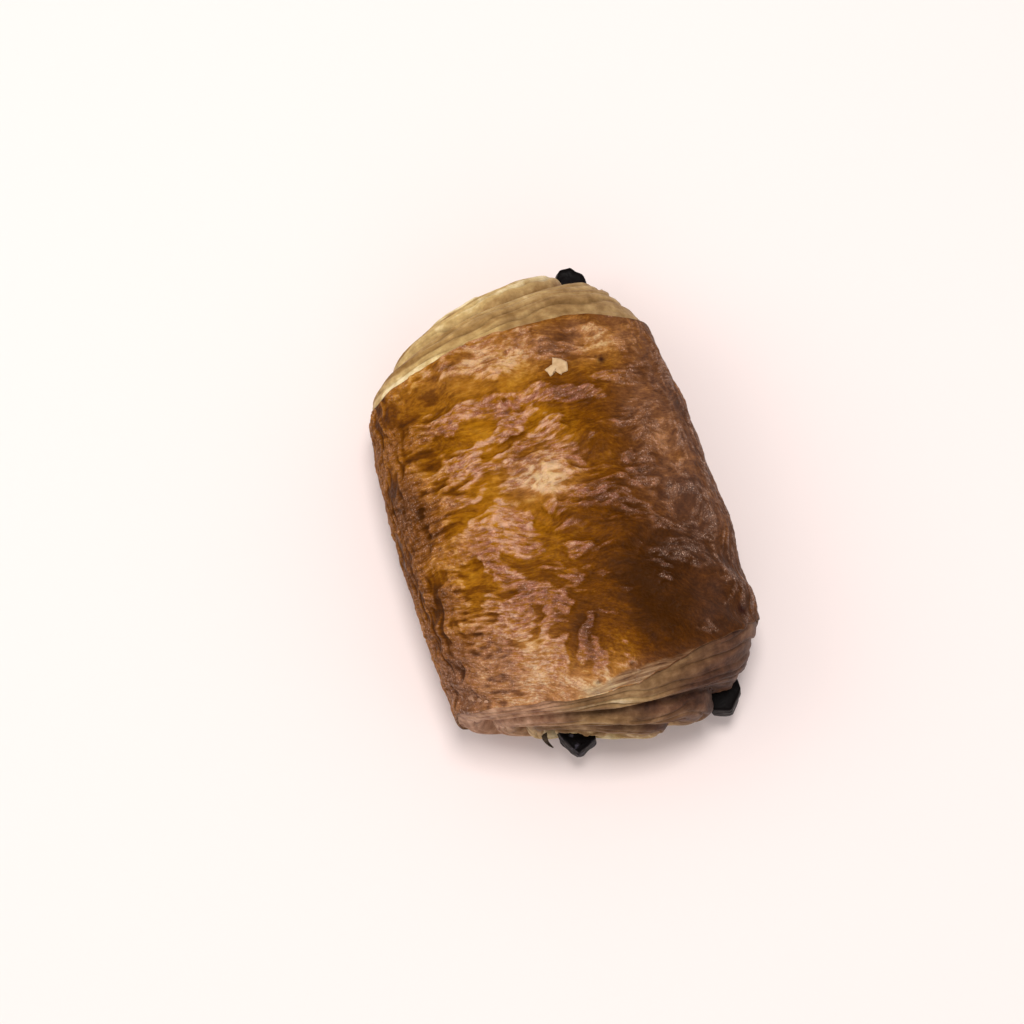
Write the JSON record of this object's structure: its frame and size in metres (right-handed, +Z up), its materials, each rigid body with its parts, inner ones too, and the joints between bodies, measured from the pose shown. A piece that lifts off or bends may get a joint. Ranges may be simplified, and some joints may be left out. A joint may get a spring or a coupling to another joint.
{
  "type": "pain au chocolat",
  "caption": "Baked roll of laminated, egg-washed dough round dark chocolate sticks, flat underneath, with bulging coiled ends where the stick tips poke out",
  "frame": {"origin": "under the middle of the whole roll, on the surface it rests on", "axes": "+Z up; +Y along the roll, from its near end to its far end; +X across it, towards the second stick"},
  "size_m": [0.0712, 0.1084, 0.0436],
  "materials": {
    "pastry": "egg-washed crust, glossy amber to rose tan, with pale layered ends",
    "chocolate": "dark baking chocolate, near black with a soft sheen"
  },
  "bodies": {
    "root": {"pastry": "pastry", "chocolate_left": "chocolate", "chocolate_right": "chocolate"}
  },
  "joints": []
}
